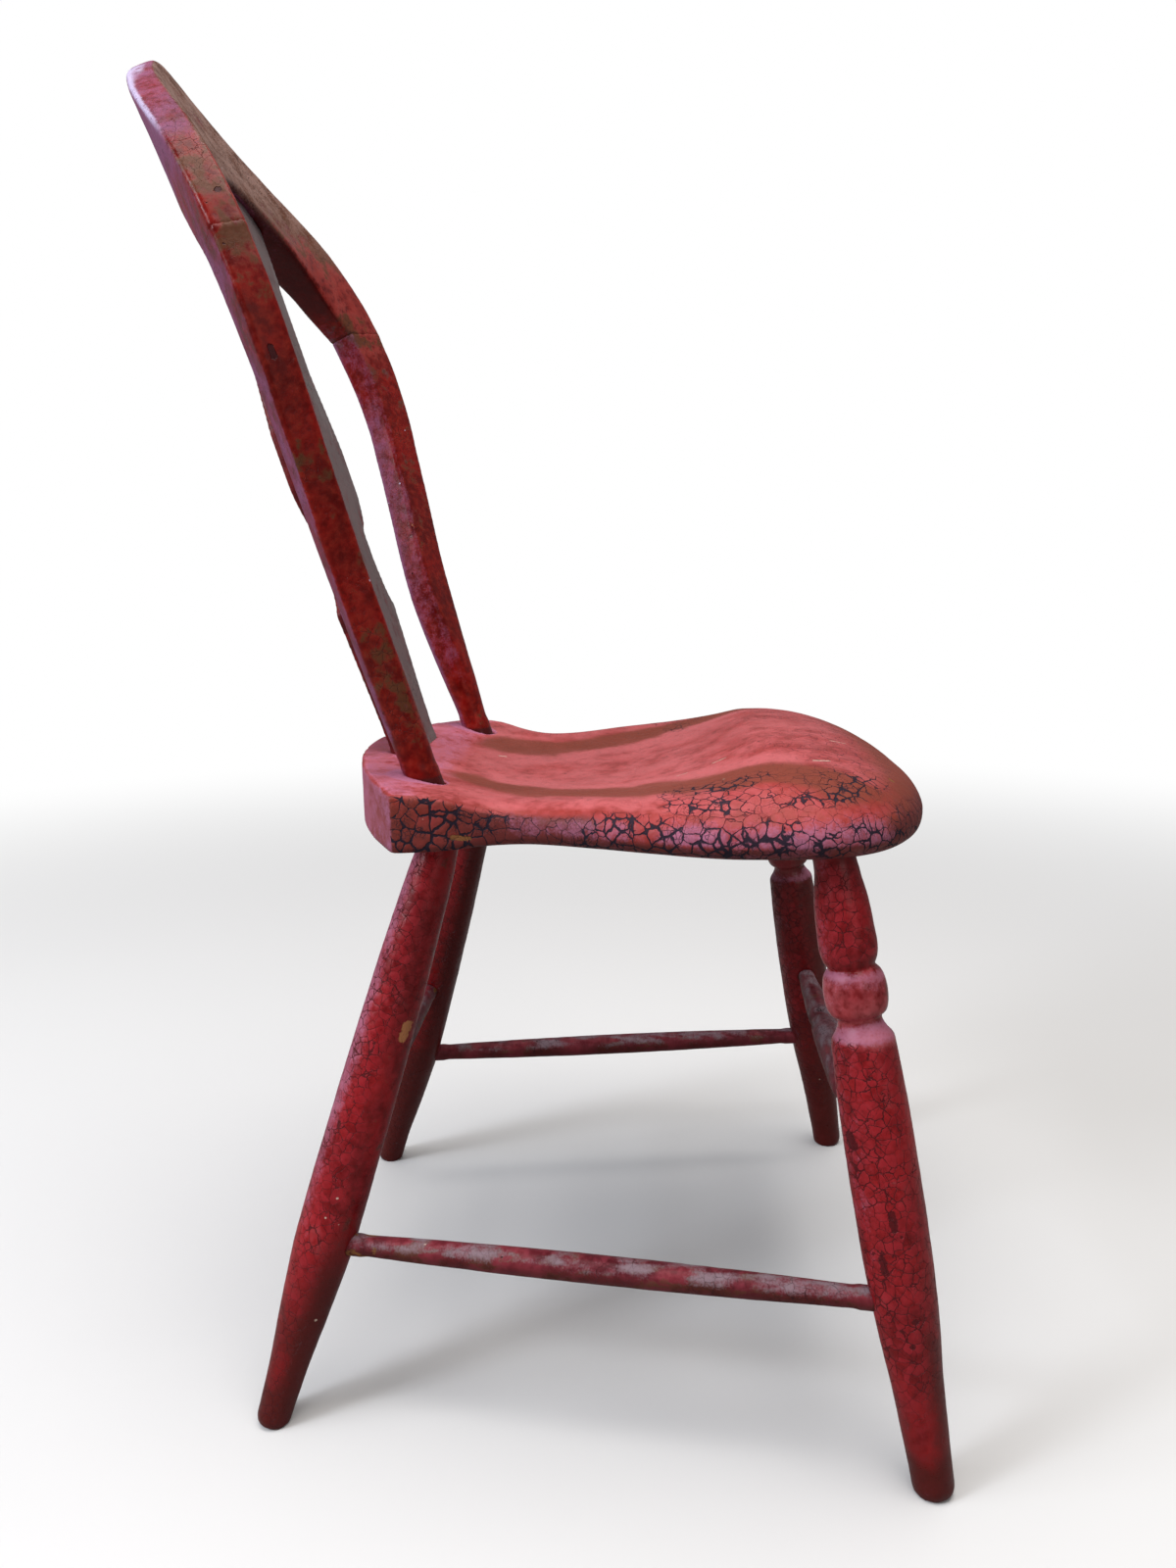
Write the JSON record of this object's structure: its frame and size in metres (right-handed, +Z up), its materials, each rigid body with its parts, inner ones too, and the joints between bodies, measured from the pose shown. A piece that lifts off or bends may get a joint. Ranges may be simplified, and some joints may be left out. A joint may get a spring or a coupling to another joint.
{
  "type": "plank-seat side chair",
  "caption": "Wooden side chair with a saddled plank seat, turned splayed legs, an arched back and a fiddle-shaped splat, in old crackled and peeling red paint.",
  "frame": {"origin": "on the floor, under the middle of the chair", "axes": "+Z up, the chair faces -Y, +X is the sitter's left"},
  "size_m": [0.4494, 0.513, 0.8695],
  "materials": {
    "crackled_red_paint": "crimson paint, coarse dark alligator crackle along the edges, rubbed and grimy on top",
    "red_paint": "crimson paint with fine dark crackle, chips and brown grime",
    "worn_red_paint": "red paint worn through to grey film and bare wood",
    "dusty_red_paint": "grey dusty film over red paint, dark red edges",
    "bare_wood": "bare hardwood"
  },
  "bodies": {
    "root": {"seat": "crackled_red_paint", "leg_front_right": "red_paint", "leg_front_left": "red_paint", "leg_rear_right": "red_paint", "leg_rear_left": "red_paint", "stretcher_front": "worn_red_paint", "stretcher_rear": "worn_red_paint", "stretcher_right": "worn_red_paint", "stretcher_left": "worn_red_paint", "stile_right": "red_paint", "stile_left": "red_paint", "crest_rail": "red_paint", "splat": "dusty_red_paint", "dowel_right": "bare_wood", "dowel_left": "bare_wood"}
  },
  "joints": []
}
